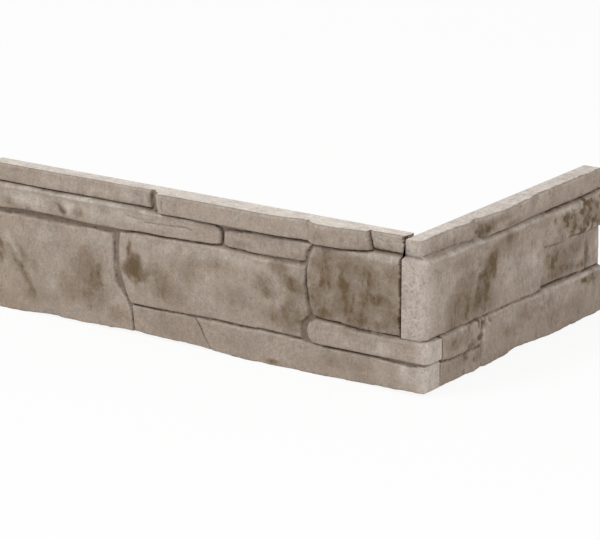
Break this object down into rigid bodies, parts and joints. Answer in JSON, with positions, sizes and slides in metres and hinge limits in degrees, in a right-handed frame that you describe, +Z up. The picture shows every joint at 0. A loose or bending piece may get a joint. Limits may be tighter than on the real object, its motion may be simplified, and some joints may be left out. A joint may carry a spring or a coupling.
{
  "type": "stone cladding corner piece",
  "caption": "L-shaped wall cladding corner with a cast stacked-stone relief: a long and a short panel interlocked at the arris by a finger joint.",
  "frame": {"origin": "foot of the inner corner, where the two flat backs meet", "axes": "+Z up; the long panel runs to -X and faces -Y, the short panel runs to +Y and faces +X"},
  "size_m": [0.3485, 0.2282, 0.1],
  "materials": {
    "long_concrete": "matt, tinted concrete with brown stains",
    "short_concrete": "matt, tinted concrete with brown stains"
  },
  "bodies": {
    "root": {"long_panel": "long_concrete", "short_panel": "short_concrete"}
  },
  "joints": []
}
